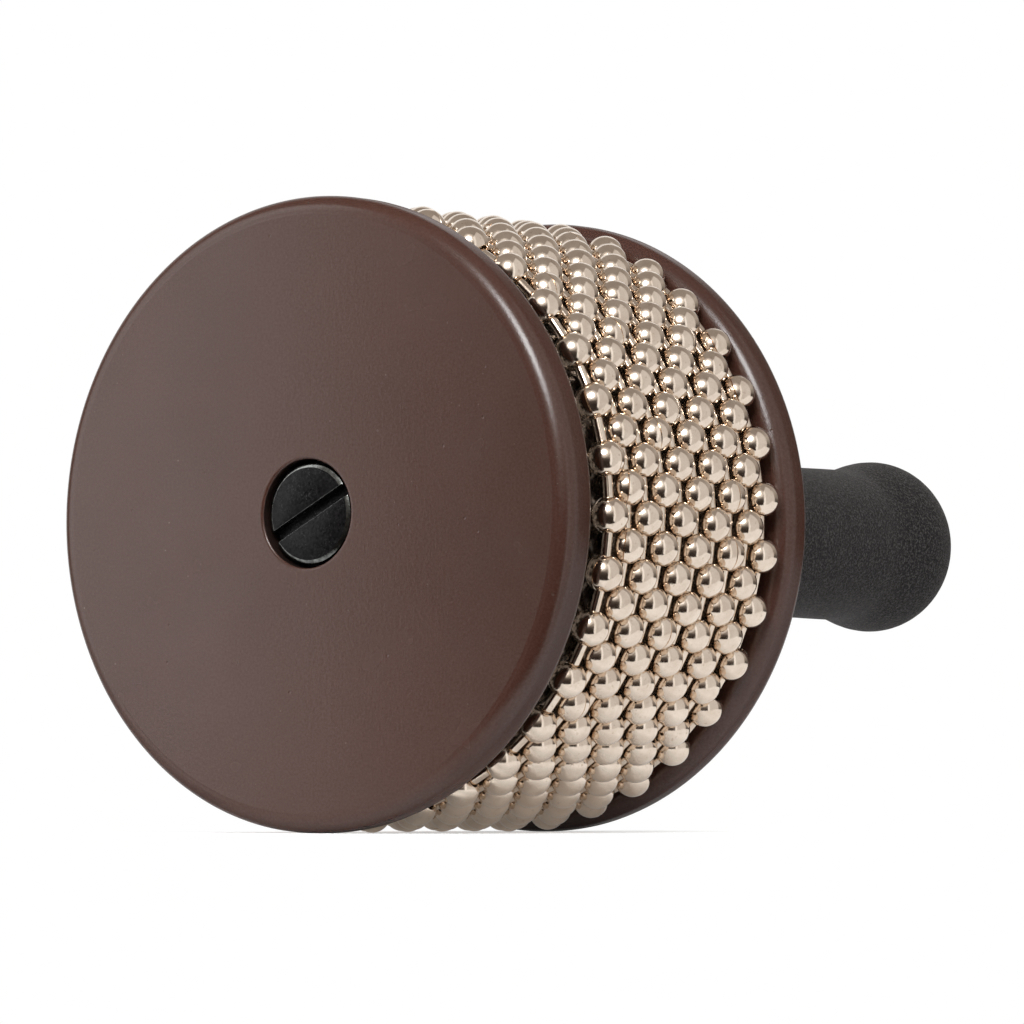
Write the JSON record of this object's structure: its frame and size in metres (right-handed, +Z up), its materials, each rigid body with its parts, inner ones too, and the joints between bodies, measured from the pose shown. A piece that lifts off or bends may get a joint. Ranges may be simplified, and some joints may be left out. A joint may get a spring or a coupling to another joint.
{
  "type": "cabasa",
  "caption": "Hand-held cabasa: loops of steel ball chain turn round a ridged drum between two painted wooden discs, on a foam-gripped handle.",
  "frame": {"origin": "centre of the bounding box's bottom face, on the surface that the rims of the discs lie on", "axes": "+Y along the instrument's axis from the front face to the grip's end, +Z up, +X to the right when looking along +Y"},
  "size_m": [0.09, 0.16, 0.09],
  "materials": {
    "painted_wood": "satin dark brown paint over wood",
    "core_wood": "bare turned wood",
    "sleeve_steel": "black ridged sheet",
    "nickel_balls": "warm nickel plating",
    "black_steel": "black oxide",
    "plain_steel": "zinc plating",
    "insert_brass": "turned brass",
    "foam": "matte closed-cell foam"
  },
  "bodies": {
    "handle_and_drum": {"front_disc": "painted_wood", "rear_disc": "painted_wood", "drum_core": "core_wood", "rasp_sleeve": "sleeve_steel", "seam_nails": "plain_steel", "through_screw": "black_steel", "screw_washer": "black_steel", "handle_core": "core_wood", "threaded_insert": "insert_brass", "handle_washer": "plain_steel", "foam_grip": "foam", "front_dowels": "core_wood", "rear_dowels": "core_wood"},
    "bead_chains": {"chain_loop_01": "nickel_balls", "chain_loop_02": "nickel_balls", "chain_loop_03": "nickel_balls", "chain_loop_04": "nickel_balls", "chain_loop_05": "nickel_balls", "chain_loop_06": "nickel_balls", "chain_loop_07": "nickel_balls", "chain_loop_08": "nickel_balls", "chain_loop_09": "nickel_balls", "chain_loop_10": "nickel_balls"}
  },
  "joints": [
    {"name": "chain_spin", "type": "hinge", "parent": "handle_and_drum", "child": "bead_chains", "pos_m": [0, 0, 0.045], "axis": [0, 1, 0], "continuous": true}
  ]
}
